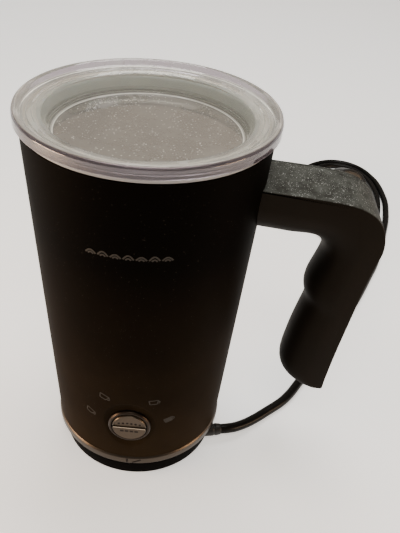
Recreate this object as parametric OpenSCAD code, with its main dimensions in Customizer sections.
// Electric milk frother: a tapered insulated jug with a clear lid and an L-shaped handle,
// standing on a round power base with a mains lead.
// The origin is on the jug's axis at the table. The controls face -Y and the handle points along +X.

/* [Jug] */
// Height of the whole frother with its lid on
total_h = 186; // [180:1:195]
// Radius of the jug's outer shell at its top edge
shell_top_r = 52.2; // [51:0.1:53]
// Radius of the jug's outer shell at its bottom edge
shell_foot_r = 42.6; // [42:0.1:44]
// Wall thickness of the outer shell
shell_wall = 1.6; // [1.2:0.1:1.8]
// Wall thickness of the steel cup
cup_wall = 0.8; // [0.6:0.1:0.9]
// Height of the cup's floor above the table
cup_floor_z = 61; // [61:0.5:64]

/* [Lid] */
// Radius of the lid's rim
lid_r = 54.2; // [53.8:0.1:54.6]
// Height of the lid's outer rim
lid_rim_h = 5.6; // [5.2:0.1:6]
// Depth of the lid's dished centre below its rim
lid_dish_depth = 12; // [11:0.5:13]
// Wall thickness of the lid
lid_wall = 2; // [1.8:0.1:2.2]

/* [Handle] */
// Width of the handle
handle_w = 30.6; // [29:0.2:31]
// Thickness of the hollow handle's walls
handle_wall = 2.4; // [2:0.1:2.8]
// Thickness of the handle's side cover
handle_cover_t = 1.6; // [1.4:0.1:2]

/* [Base] */
// Radius of the base under its top edge
base_top_r = 41.8; // [41:0.1:42]
// Radius of the base at its lower edge
base_foot_r = 39.6; // [39:0.1:40.5]
// Height of the base's top face above the table
base_h = 12.2; // [12:0.1:12.4]
// Diameter of the mains lead
cord_d = 5.5; // [5:0.1:5.6]

/* [Controls] */
// Height of the button's axis
button_z = 41.4; // [40:0.1:42]
// Radius of the button
button_r = 8.2; // [8:0.1:8.4]

/* [Whisk] */
// Mean radius of the whisk's sprung ring
whisk_r = 17; // [14:0.5:20]
// Radius of the spindle that the whisk turns on
spindle_r = 2; // [1.8:0.1:2.2]

/* [Hidden] */
$fn = 96;
eps = 0.01;

// Heights
rim_z = total_h - lid_rim_h - 0.1;
shell_top_z = rim_z - 2.1;
trim_z = 17.6;
jug_z = base_h + 0.4;
plate_z = 1.2;
bracket_z = 46.5;
rotor_z = 55.5;
heater_z = cup_floor_z - cup_wall - 5;

// Radii
cup_rim_r = shell_top_r - 3.6;
cup_floor_r = shell_foot_r - 4.1;
trim_r = shell_foot_r + 0.5;
motor_r = 12;
shaft_r = 1;
running_gap = 0.06;
root_gap = 0.1;

// Controls
recess_r = 12.5;
recess_y = -42.2;
pad_y = -40.4;
bezel_r = 9.9;
bezel_y = recess_y - 1.6;
button_y = bezel_y - 0.7;
board_y = -36.2;

// Icons: turn from the front and height, mirrored on the left and the right
ICONS = [[15, 60.5], [25, 45.5]];

// Where the lead leaves the base
exit_turn = 12;
exit_z = 6.6;
exit_at = [40, -11.4, exit_z];
boot_out = 6;
boot_in = 9;

// Radius of the outer shell at a height
function shell_r(z) = shell_foot_r + (shell_top_r - shell_foot_r) * (z - trim_z) / (rim_z - trim_z);
// Inner radius of the steel cup at a height
function cup_r(z) = cup_floor_r + (cup_rim_r - cup_floor_r) * (z - cup_floor_z) / (rim_z - cup_floor_z);
// Where the handle's root meets the jug's side, y off the middle
function root_x(y, z) = sqrt(pow(shell_r(z) + root_gap, 2) - y * y);
// Points of an arc about c, from angle a to angle b
function arc(c, r, a, b, n = 8) =
    [for (i = [0 : n]) let (t = a + (b - a) * i / n) c + r * [cos(t), sin(t)]];

// The handle's outline at its middle, x outward and z up, and how far each point moves in at the sides.
// It runs over the top and down the outside, then back along the rounded inside.
HANDLE_OUTSIDE = [[40, 160, 0, 0], [56, 159.1, 0, 0], [66, 158.6, 0, 0], [76, 157.9, 0, 0], [84, 157, 0, 0],
    [90.5, 155.5, 0, 0], [95.5, 153, 0, 0], [99.2, 149.8, 0, 0], [101.9, 145.5, 0, 0], [103.4, 140, 0, 0],
    [103.7, 135, 0, 0], [102.7, 129.5, 0, 0], [100.2, 115, 0, 0], [97.7, 95, 0, 0], [95.3, 75, 0, 0],
    [93.7, 58, 0, 0], [93.3, 51, 0, 1]];
HANDLE_INSIDE = [[92.6, 48.3, 0.3, 2.4], [90.5, 47, 0.9, 3.9], [86, 47, 3.2, 4.2], [80, 48.4, 7.4, 4.2],
    [75, 51.2, 11, 3.6], [72, 54.8, 13.2, 3.2], [70.9, 60, 14.6, 2], [71.2, 66, 15, 0], [72, 72, 15, 0],
    [73.2, 80, 15, -1], [75.2, 90, 15, -2], [76.6, 96.5, 15, -2], [76.7, 100, 15, -2], [75.7, 104, 15, -2],
    [75.4, 107.5, 15, -2], [76, 112, 15, -2], [77.6, 117.5, 15, -1], [79.2, 123, 14.5, 2],
    [79.8, 127.5, 13.5, 6], [78.4, 131.5, 12, 9], [75.5, 134.2, 8, 12.5], [71, 135, 3, 14.5],
    [64, 135, 0, 15], [56, 135.7, 0, 15], [40, 137, 0, 15]];
HANDLE = concat(HANDLE_OUTSIDE, HANDLE_INSIDE);
// Which line each triangle of a flat end steps along, from the root down: o is outside and i is inside
HANDLE_STEPS = "ioooooiiooiooioiiiiioiiioooiiiiiiiiiiooi";

function end_faces(i, j, s = 0) = s == len(HANDLE_STEPS) ? []
    : HANDLE_STEPS[s] == "o" ? concat([[i, i + 1, j]], end_faces(i + 1, j, s + 1))
    : concat([[i, j - 1, j]], end_faces(i, j - 1, s + 1));

// The lead's route along the table: out of the boot, behind the handle and round in a loose loop
ROUTE = [[45.5, -10.2, 6.6], [49, -9.2, 6.3], [52.8, -7.5, 5.6], [56.6, -5, 4.7], [60.6, -1.8, 3.8],
    [64.5, 1.6, 3.2], [68.3, 5.1, 2.9], [72, 8.6, 2.8], [76.2, 12.4, 2.8], [80, 16, 2.8], [84, 20.6, 2.8],
    [88, 26.4, 2.8], [92, 33.3, 2.8], [97, 41.6, 2.8], [104, 54, 2.8], [112, 69, 2.8], [120, 84, 2.8],
    [129, 101, 2.8], [138, 118, 2.8], [146, 135, 2.8], [153, 151, 2.8], [160, 167, 2.8], [166, 184, 2.8],
    [172, 203, 2.8], [177, 221, 2.8], [181, 236, 2.8], [184, 252, 2.8], [186, 267, 2.8], [186, 281, 2.8],
    [185, 295, 2.8], [182, 309, 2.8], [173.5, 327, 2.8], [160, 337.5, 2.8], [144, 338.5, 2.8],
    [129, 330.5, 2.8], [117, 317, 2.8], [107.5, 300, 2.8], [101.5, 280, 2.8], [101, 263, 2.8],
    [103.5, 248, 2.8], [108.5, 234, 2.8], [115, 221, 2.8], [121.5, 209, 2.8], [126.5, 201.5, 2.8],
    [134, 196, 2.8], [142.5, 194, 2.8], [151.5, 195.5, 2.8], [159, 200, 2.8], [164.5, 207.5, 2.8],
    [168, 218, 2.8], [171.5, 231, 2.8], [175, 245, 2.8], [178.5, 264, 2.8], [180, 283, 2.8],
    [177, 305, 2.8], [170, 320.5, 2.8], [164, 327, 2.8], [156.5, 331, 2.8], [146.8, 331.8, 2.8],
    [137, 328.3, 2.8], [129.8, 321.5, 2.8], [125.8, 312.5, 2.8], [125.2, 303, 2.8], [127.5, 295, 3.2],
    [129.8, 288.7, 4.6]];
PLUG_AT = [129.8, 288.7, 4.6];
plug_tilt = 22;
plug_turn = 290;

function at(p, i) = p[min(max(i, 0), len(p) - 1)];
function unit(v) = v / norm(v);

// A tube of 8 sides along a line that never stands upright
module tube(line, r, sides = 8) {
    n = len(line);
    ahead = [for (i = [0 : n - 1]) unit(at(line, i + 1) - at(line, i - 1))];
    side = [for (t = ahead) unit(cross(t, [0, 0, 1]))];
    points = [for (i = [0 : n - 1]) for (k = [0 : sides - 1])
        let (a = 360 * (k + 0.5) / sides)
        line[i] + r * (cos(a) * side[i] + sin(a) * cross(side[i], ahead[i]))];
    walls = [for (i = [0 : n - 2]) for (k = [0 : sides - 1])
        let (j = (k + 1) % sides) [i * sides + k, i * sides + j, (i + 1) * sides + j, (i + 1) * sides + k]];
    first = [[for (k = [sides - 1 : -1 : 0]) k]];
    last = [[for (k = [0 : sides - 1]) (n - 1) * sides + k]];
    polyhedron(points, concat(walls, first, last), convexity = 10);
}

module ring(r_out, r_in, z0, z1) {
    translate([0, 0, z0]) difference() {
        cylinder(r = r_out, h = z1 - z0);
        translate([0, 0, -1]) cylinder(r = r_in, h = z1 - z0 + 2);
    }
}

// Children repeated n times about the axis, r out from it
module around(n, r, start = 0) {
    for (i = [0 : n - 1]) rotate([0, 0, start + 360 * i / n]) translate([r, 0, 0]) children();
}

// Children with their Z turned to point out of the front, at a height
module facing_front(y, z) {
    translate([0, y, z]) rotate([90, 0, 0]) children();
}

// Children at each of the four icons, with X pointing out
module at_icons(r) {
    for (icon = ICONS) for (s = [-1, 1])
        rotate([0, 0, -90 + s * icon[0]]) translate([r, 0, icon[1]]) children();
}

// A screw with its head down, from the head's face up
module screw(r, length, head_r, head_h) {
    difference() {
        union() {
            cylinder(r = head_r, h = head_h);
            cylinder(r = r, h = length);
        }
        for (a = [0, 90]) rotate([0, 0, a])
            translate([-head_r * 0.6, -0.35, -1]) cube([head_r * 1.2, 0.7, 1 + head_h / 2]);
    }
}

// Children in the plug's own frame: Z along its pins
module in_plug() {
    translate(PLUG_AT) rotate([0, 0, plug_turn]) rotate([0, 90 - plug_tilt, 0]) children();
}

// ---- Base ----

module base_tray() {
    color([0.05, 0.045, 0.04]) difference() {
        union() {
            difference() {
                translate([0, 0, plate_z]) cylinder(r1 = base_foot_r, r2 = base_top_r, h = base_h - plate_z);
                translate([0, 0, plate_z - 1]) cylinder(r = base_foot_r - 2, h = base_h - plate_z - 1);
            }
            around(3, 26, 30) translate([0, 0, plate_z + 1.6]) cylinder(r = 3.2, h = base_h - plate_z - 3);
        }
        translate([0, 0, base_h - 3]) cylinder(r = 11.2, h = 5);
        around(3, 26, 30) translate([0, 0, plate_z]) cylinder(r = 1.35, h = base_h - plate_z - 3);
        translate(exit_at) rotate([0, 0, exit_turn]) rotate([0, 90, 0])
            translate([0, 0, -8]) cylinder(r = 3.55, h = 20);
    }
}

module base_plate() {
    color([0.06, 0.055, 0.05]) difference() {
        translate([0, 0, plate_z]) cylinder(r = base_foot_r - 2.1, h = 1.6);
        around(3, 26, 30) translate([0, 0, 0]) cylinder(r = 1.6, h = 5);
        around(3, 26, 30) translate([0, 0, plate_z - 1]) cylinder(r = 3, h = 1.8);
    }
}

module foot_ring() {
    color([0.12, 0.12, 0.12]) ring(35.5, 31, 0, plate_z);
}

module base_screws() {
    color([0.7, 0.7, 0.72]) around(3, 26, 30) translate([0, 0, plate_z + 0.05]) screw(1.3, 7, 2.8, 0.75);
}

module power_connector() {
    color([0.08, 0.08, 0.08]) difference() {
        union() {
            translate([0, 0, base_h - 4.2]) cylinder(r = 14, h = 2.2);
            translate([0, 0, base_h - 4.2]) cylinder(r = 11, h = 12.8);
            translate([0, 0, 3.2]) cylinder(r = 9, h = 5);
        }
        translate([0, 0, 8]) cylinder(r = 2.6, h = 20);
        ring(7.4, 5.6, 12, 30);
    }
}

module contact_rings() {
    color([0.8, 0.65, 0.35]) {
        ring(7.3, 6.7, 12, 19.5);
        ring(2.55, 2.1, 8.1, 18);
    }
}

module cord_boot() {
    color([0.05, 0.05, 0.05]) translate(exit_at) rotate([0, 0, exit_turn]) rotate([0, 90, 0]) {
        translate([0, 0, -boot_in]) cylinder(r = 3.5, h = boot_in + 1);
        translate([0, 0, 1]) cylinder(r1 = 3.5, r2 = 3, h = boot_out - 0.6);
    }
}

module cord() {
    color([0.04, 0.04, 0.04]) tube(ROUTE, cord_d / 2);
}

module plug() {
    color([0.05, 0.05, 0.05]) in_plug() {
        cylinder(r1 = 4, r2 = 6.5, h = 16);
        translate([0, 0, 16]) cylinder(r1 = 9, r2 = 13, h = 6);
        translate([0, 0, 22]) cylinder(r = 13, h = 12);
        translate([0, 0, 34]) difference() {
            cylinder(r = 18.6, h = 16);
            for (s = [-1, 1]) translate([s * 9.5, 0, 6]) cylinder(r = 2.4, h = 12);
            for (s = [-1, 1]) translate([-3.2, s * 17.3 - 2, 4]) cube([6.4, 4, 14]);
        }
    }
}

module plug_pins() {
    color([0.75, 0.75, 0.77]) in_plug() for (s = [-1, 1]) translate([s * 9.5, 0, 40]) {
        cylinder(r = 2.4, h = 28);
        translate([0, 0, 28]) cylinder(r1 = 2.4, r2 = 1.4, h = 1);
    }
}

module plug_earth_clips() {
    color([0.8, 0.72, 0.5]) in_plug()
        for (s = [-1, 1]) translate([-3, s * 16.8 - 1.2, 38.1]) cube([6, 2.4, 11]);
}

// ---- Jug ----

module outer_shell() {
    color([0.055, 0.045, 0.035]) difference() {
        translate([0, 0, trim_z])
            cylinder(r1 = shell_r(trim_z), r2 = shell_r(shell_top_z), h = shell_top_z - trim_z);
        difference() {
            translate([0, 0, trim_z - eps]) cylinder(r1 = shell_r(trim_z) - shell_wall,
                r2 = shell_r(shell_top_z) - shell_wall, h = shell_top_z - trim_z + 2 * eps);
            facing_front(pad_y, button_z) cylinder(r = 13.2, h = 12);
        }
        facing_front(recess_y, button_z) cylinder(r = recess_r, h = 12);
        facing_front(-30, button_z) cylinder(r = button_r + 0.3, h = 30);
        at_icons(30) rotate([0, 90, 0]) cylinder(r = 2.2, h = 30);
        for (z = [147, 154]) translate([40, 0, z]) rotate([0, 90, 0]) cylinder(r = 1.8, h = 30);
    }
}

module trim_ring() {
    color([0.45, 0.4, 0.36]) difference() {
        translate([0, 0, jug_z]) cylinder(r = trim_r, h = trim_z - jug_z);
        translate([0, 0, jug_z - 1]) cylinder(r = cup_floor_r, h = 3.6);
        translate([0, 0, jug_z + 2]) cylinder(r = shell_foot_r - shell_wall, h = 10);
    }
}

module jug_bottom() {
    color([0.06, 0.055, 0.05]) difference() {
        union() {
            translate([0, 0, jug_z + 0.2]) cylinder(r = cup_floor_r - 0.1, h = 2.2);
            around(3, 30, 90) translate([0, 0, jug_z + 2]) cylinder(r = 3, h = 12);
            for (s = [-1, 1]) translate([s * 12 - 1.5, board_y + 1.7, jug_z + 2]) cube([3, 3, 14]);
        }
        translate([0, 0, jug_z - 1]) cylinder(r = 17.1, h = 6);
        around(3, 30, 90) translate([0, 0, jug_z - 1]) cylinder(r = 1.35, h = 12);
        around(3, 30, 90) translate([0, 0, jug_z - 1]) cylinder(r = 2.9, h = 2);
    }
}

module bottom_screws() {
    color([0.7, 0.7, 0.72]) around(3, 30, 90) translate([0, 0, jug_z + 0.25]) screw(1.3, 9, 2.7, 0.7);
}

module power_socket() {
    color([0.75, 0.73, 0.68]) {
        difference() {
            union() {
                translate([0, 0, jug_z + 0.2]) cylinder(r = 17, h = 2.2);
                translate([0, 0, jug_z + 0.2]) cylinder(r = 14, h = 11.8);
            }
            translate([0, 0, jug_z - 1]) cylinder(r = 11.4, h = 10);
        }
        translate([0, 0, jug_z + 3]) cylinder(r = 1.8, h = 8);
        ring(6.45, 5.9, jug_z + 3, jug_z + 10);
    }
}

module rim_ring() {
    color([0.3, 0.3, 0.3]) rotate_extrude() polygon([
        [shell_r(shell_top_z - 4) - shell_wall - 0.1, shell_top_z - 4],
        [shell_r(shell_top_z) - shell_wall - 0.1, shell_top_z],
        [shell_r(shell_top_z), shell_top_z], [shell_top_r - 0.1, rim_z - 0.4], [shell_top_r - 1, rim_z + 0.5],
        [cup_rim_r + cup_wall + 0.1, rim_z + 0.5], [cup_rim_r + cup_wall - 0.2, shell_top_z - 4]]);
}

module inner_cup() {
    color([0.5, 0.48, 0.46]) difference() {
        translate([0, 0, cup_floor_z - cup_wall]) cylinder(r1 = cup_floor_r + cup_wall,
            r2 = cup_rim_r + cup_wall, h = rim_z - cup_floor_z + cup_wall);
        translate([0, 0, cup_floor_z])
            cylinder(r1 = cup_floor_r, r2 = cup_rim_r, h = rim_z - cup_floor_z + eps);
        translate([0, 0, cup_floor_z - 3]) cylinder(r = spindle_r, h = 5);
    }
}

module spindle() {
    color([0.8, 0.8, 0.82]) {
        translate([0, 0, cup_floor_z - cup_wall]) cylinder(r = spindle_r, h = 12);
        translate([0, 0, cup_floor_z - cup_wall + 12]) cylinder(r1 = spindle_r, r2 = spindle_r - 1, h = 1);
    }
}

module heater_plate() {
    color([0.75, 0.76, 0.78]) ring(cup_floor_r - 0.5, 17, heater_z, heater_z + 4.9);
}

module heating_element() {
    color([0.6, 0.6, 0.6]) {
        translate([0, 0, heater_z - 2.7]) rotate([0, 0, 70])
            rotate_extrude(angle = 300) translate([28.5, 0]) circle(r = 2.6);
        for (a = [72, 368]) rotate([0, 0, a]) translate([28.5, 0, bracket_z + 2.2]) cylinder(r = 1.2, h = 3);
    }
}

module thermostat() {
    color([0.2, 0.2, 0.22]) rotate([0, 0, 40]) translate([24, 0, heater_z - 5]) {
        cylinder(r = 4.6, h = 4.9);
        for (s = [-1, 1]) translate([s * 2.5 - 0.5, -0.3, -1.4]) cube([1, 0.6, 2]);
    }
}

module motor_bracket() {
    color([0.7, 0.68, 0.6]) difference() {
        translate([0, 0, bracket_z]) cylinder(r = cup_floor_r, h = 2);
        translate([0, 0, bracket_z - 1]) cylinder(r = 3.6, h = 5);
        for (s = [-1, 1]) translate([s * 8, 0, bracket_z - 1]) cylinder(r = 1.3, h = 5);
        around(3, 34, 90) translate([0, 0, bracket_z - 1]) cylinder(r = 1.5, h = 5);
    }
}

module bracket_posts() {
    color([0.7, 0.7, 0.72]) around(3, 34, 90) {
        translate([0, 0, bracket_z + 2]) cylinder(r = 2.5, h = heater_z - bracket_z - 2);
        translate([0, 0, bracket_z - 3]) cylinder(r = 1.45, h = 5.5);
        translate([0, 0, bracket_z - 2]) cylinder(r = 2.8, h = 2, $fn = 6);
    }
}

module motor() {
    color([0.65, 0.65, 0.68]) difference() {
        union() {
            translate([0, 0, bracket_z - 20.1]) cylinder(r = motor_r, h = 20);
            translate([0, 0, bracket_z - 0.2]) cylinder(r = 3.5, h = 2);
            translate([0, 0, bracket_z - 21.3]) cylinder(r = 3.5, h = 1.3);
        }
        translate([0, 0, bracket_z - 17]) cylinder(r = shaft_r + running_gap, h = 30);
        for (s = [-1, 1]) translate([s * 8, 0, bracket_z - 4]) cylinder(r = 1.05, h = 5);
    }
}

module motor_screws() {
    color([0.7, 0.7, 0.72]) for (s = [-1, 1])
        translate([s * 8, 0, bracket_z + 3.1]) rotate([180, 0, 0]) screw(1, 6, 2, 1);
}

module control_board() {
    color([0.1, 0.4, 0.2]) translate([-15.5, board_y, 27]) cube([31, 1.6, 18.5]);
}

module board_parts() {
    color([0.15, 0.15, 0.17]) {
        translate([-14, board_y + 1.6, 29]) cube([7, 6, 9]);
        translate([-4, board_y + 1.6, 30]) cube([8, 3, 8]);
        translate([9.5, board_y + 1.6, 36]) rotate([-90, 0, 0]) cylinder(r = 4, h = 9);
    }
}

module tact_switch() {
    color([0.1, 0.1, 0.1]) difference() {
        translate([-3, board_y - 2.4, button_z - 3]) cube([6, 2.4, 6]);
        facing_front(board_y - 0.6, button_z) cylinder(r = 1.7, h = 3);
    }
}

// Short clear rods that carry light from the lamps to the icons
module light_guides() {
    color([0.9, 0.9, 0.9, 0.6]) for (s = [-1, 1]) {
        rotate([0, 0, -90 + s * ICONS[0][0]])
            translate([40.2, 0, 44.8]) rotate([0, 4, 0]) cylinder(r = 1, h = 17.7);
        rotate([0, 0, -90 + s * ICONS[1][0]]) translate([40.5, 0, 40]) cylinder(r = 1.3, h = 7);
    }
}

module leds() {
    color([0.95, 0.95, 0.85]) for (s = [-1, 1]) {
        translate([s * 10.5 - 1, board_y - 3.8, 42.6]) cube([2, 3.8, 2]);
        translate([s * 16.6 - 1.1, board_y - 1.4, 37.8]) cube([2.2, 2, 2]);
    }
}

module icon_windows() {
    color([0.35, 0.33, 0.3]) for (icon = ICONS) for (s = [-1, 1]) rotate([0, 0, -90 + s * icon[0]])
        translate([shell_r(icon[1]) - shell_wall, 0, icon[1]])
            rotate([0, 90, 0]) cylinder(r = 2.15, h = shell_wall - 0.15);
}

module button_bezel() {
    color([0.4, 0.38, 0.36]) facing_front(recess_y, button_z) difference() {
        union() {
            cylinder(r = bezel_r, h = 1.1);
            translate([0, 0, 1.1]) cylinder(r1 = bezel_r, r2 = bezel_r - 0.5, h = 0.5);
        }
        translate([0, 0, -1]) cylinder(r = button_r + 0.3, h = 5);
    }
}

// The handle's body between two distances from its middle, flat outside and half round inside
module handle_body(y0, y1) {
    n = len(HANDLE);
    half = handle_w / 2;
    turns = [for (a = [-90 : 15 : 90])
        if (half * sin(a) > y0 + 0.4 && half * sin(a) < y1 - 0.4) half * sin(a)];
    places = concat([y0], turns, [y1]);
    points = [for (y = places) let (k = 1 - sqrt(max(0, 1 - pow(y / half, 2)))) for (i = [0 : n - 1])
        let (p = HANDLE[i], z = p[1] + k * p[3], at_root = i == 0 || i == n - 1)
        [at_root ? root_x(y, z) : p[0] + k * p[2], y, z]];
    walls = [for (i = [0 : len(places) - 2]) for (k = [0 : n - 1])
        let (j = (k + 1) % n) [i * n + j, i * n + k, (i + 1) * n + k, (i + 1) * n + j]];
    first = end_faces(0, n - 1);
    last = [for (f = first) [for (k = [2, 1, 0]) (len(places) - 1) * n + f[k]]];
    polyhedron(points, concat(walls, first, last), convexity = 10);
}

module handle_shell() {
    wall_y = handle_wall - handle_w / 2;
    depth = handle_w - handle_wall;
    color([0.07, 0.065, 0.06]) difference() {
        handle_body(-handle_w / 2, handle_w / 2 - handle_cover_t);
        translate([56, wall_y, 145]) cube([34, depth, 155.2 - 145]);
        translate([84.5, wall_y, 62]) cube([7, depth, 34]);
        translate([89, wall_y, 90]) cube([6, depth, 60]);
        translate([48, -6, 144]) cube([8.1, 12, 13]);
    }
}

module handle_cover() {
    color([0.07, 0.065, 0.06]) handle_body(handle_w / 2 - handle_cover_t + 0.05, handle_w / 2);
}

// Steel plate inside the arm's root that the two screws pull against the shell
module handle_bracket() {
    color([0.7, 0.7, 0.72]) difference() {
        translate([52.6, -5.5, 144.4]) cube([2.5, 11, 11.6]);
        for (z = [147, 154]) translate([40, 0, z]) rotate([0, 90, 0]) cylinder(r = 1.55, h = 30);
    }
}

module handle_screws() {
    color([0.7, 0.7, 0.72]) for (z = [147, 154]) translate([shell_r(z) - shell_wall - 1.7, 0, z])
        rotate([0, 90, 0]) screw(1.5, 8, 2.6, 1.3);
}

// ---- Button ----

module button() {
    color([0.62, 0.6, 0.57]) difference() {
        union() {
            facing_front(recess_y, button_z) cylinder(r = button_r, h = recess_y - button_y - 0.3);
            facing_front(button_y + 0.3, button_z) cylinder(r1 = button_r, r2 = button_r - 0.4, h = 0.3);
            facing_front(board_y - 4, button_z) cylinder(r = 3, h = 3);
        }
        translate([-button_r, button_y - 1, button_z - 0.25]) cube([2 * button_r, 1.2, 0.5]);
    }
}

module switch_plunger() {
    color([0.8, 0.8, 0.8]) facing_front(board_y - 1.6, button_z) cylinder(r = 1.6, h = 2.4);
}

// ---- Drive ----

module motor_shaft() {
    color([0.8, 0.8, 0.82]) translate([0, 0, bracket_z - 16])
        cylinder(r = shaft_r, h = rotor_z + 4 - bracket_z + 16);
}

module magnet_carrier() {
    color([0.85, 0.85, 0.82]) difference() {
        translate([0, 0, rotor_z]) cylinder(r = 15.5, h = 4);
        translate([0, 0, rotor_z - 1]) cylinder(r = shaft_r, h = 6);
        around(2, 9) translate([0, 0, rotor_z + 1]) cylinder(r = 4, h = 5);
    }
}

module drive_magnets() {
    color([0.55, 0.55, 0.58]) around(2, 9) translate([0, 0, rotor_z + 1]) cylinder(r = 3.95, h = 3);
}

// ---- Whisk ----

module whisk_hub() {
    z = cup_floor_z + 0.6;
    color([0.12, 0.12, 0.12]) difference() {
        union() {
            translate([0, 0, z]) cylinder(r = 13, h = 4);
            translate([0, 0, z + 4]) cylinder(r1 = 6, r2 = 4.2, h = 8);
            for (a = [0, 120, 240]) rotate([0, 0, a])
                translate([11, -1.2, z + 1]) cube([whisk_r - 12.4, 2.4, 2]);
        }
        translate([0, 0, z - 1]) cylinder(r = spindle_r + running_gap, h = 16);
        around(2, 9) translate([0, 0, z + 0.8]) cylinder(r = 3, h = 2.4);
    }
}

module whisk_coil() {
    color([0.8, 0.8, 0.82]) translate([0, 0, cup_floor_z + 2.6])
        rotate_extrude() translate([whisk_r + 0.7, 0]) circle(r = 1.9, $fn = 24);
}

module whisk_magnets() {
    color([0.55, 0.55, 0.58]) around(2, 9) translate([0, 0, cup_floor_z + 1.45]) cylinder(r = 2.95, h = 2.3);
}

// ---- Lid ----

module lid() {
    z0 = total_h;
    floor_z = z0 - lid_dish_depth;
    step_z = z0 - 3;
    color([0.8, 0.8, 0.8, 0.4]) rotate_extrude() polygon(concat(
        [[0, floor_z]],
        arc([38.6, floor_z + 1.4], 1.4, -90, -15, 4),
        arc([44.6, step_z - 1.6], 1.6, 165, 90, 4),
        [[50.2, step_z], [51, step_z + 0.6]],
        arc([52.2, z0 - 0.9], 0.9, 150, 90, 3),
        arc([lid_r - 1.3, z0 - 1.3], 1.3, 90, 0, 5),
        [[lid_r, z0 - lid_rim_h], [lid_r - 1.6, z0 - lid_rim_h], [lid_r - 2.2, step_z - lid_wall],
            [45.4, step_z - lid_wall]],
        arc([40.2, floor_z], 2, -15, -90, 4),
        [[0, floor_z - lid_wall]]));
}

module lid_seal() {
    color([0.6, 0.6, 0.6, 0.6]) rotate_extrude() polygon([
        [44.6, 177.8], [47.6, 179.4], [48.1, 178.6], [45.6, 176.4],
        [46.6, 174.6], [46, 174.2], [43.8, 175.4]]);
}

base_tray();
base_plate();
foot_ring();
base_screws();
power_connector();
contact_rings();
cord_boot();
cord();
plug();
plug_pins();
plug_earth_clips();
outer_shell();
trim_ring();
jug_bottom();
bottom_screws();
power_socket();
rim_ring();
inner_cup();
spindle();
heater_plate();
heating_element();
thermostat();
motor_bracket();
bracket_posts();
motor();
motor_screws();
control_board();
board_parts();
tact_switch();
light_guides();
leds();
icon_windows();
button_bezel();
handle_shell();
handle_cover();
handle_bracket();
handle_screws();
button();
switch_plunger();
motor_shaft();
magnet_carrier();
drive_magnets();
whisk_hub();
whisk_coil();
whisk_magnets();
lid();
lid_seal();
